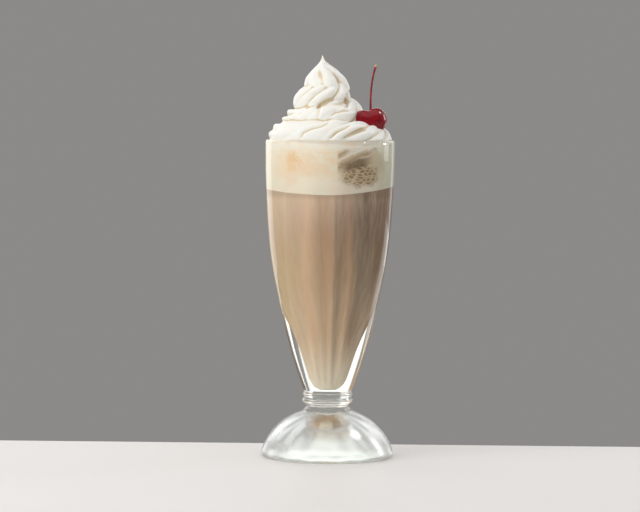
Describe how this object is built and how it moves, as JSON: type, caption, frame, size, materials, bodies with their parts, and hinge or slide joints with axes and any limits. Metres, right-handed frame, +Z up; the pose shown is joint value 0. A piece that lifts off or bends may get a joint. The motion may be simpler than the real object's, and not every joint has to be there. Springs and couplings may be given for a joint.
{
  "type": "root beer float",
  "caption": "Root beer float in a footed soda glass with inside flutes, a foam head, a piped swirl of whipped cream and a cherry on its stem.",
  "frame": {"origin": "on the table, under the middle of the foot", "axes": "+Z up; -Y is the front, from which the cherry shows at the right, on the +X side"},
  "size_m": [0.0846, 0.0846, 0.2576],
  "materials": {
    "glass": "clear pressed soda glass, polished",
    "root_beer": "milky brown drink, wet",
    "foam": "pale cream-coloured foam with fine bubbles",
    "cream": "smooth whipped cream, soft sheen",
    "cherry": "syrupy dark red skin, glossy",
    "stem": "dyed stem, satin"
  },
  "bodies": {
    "root": {"glass": "glass", "drink": "root_beer", "foam_head": "foam", "whipped_cream": "cream", "cherry": "cherry", "cherry_stem": "stem"}
  },
  "joints": []
}
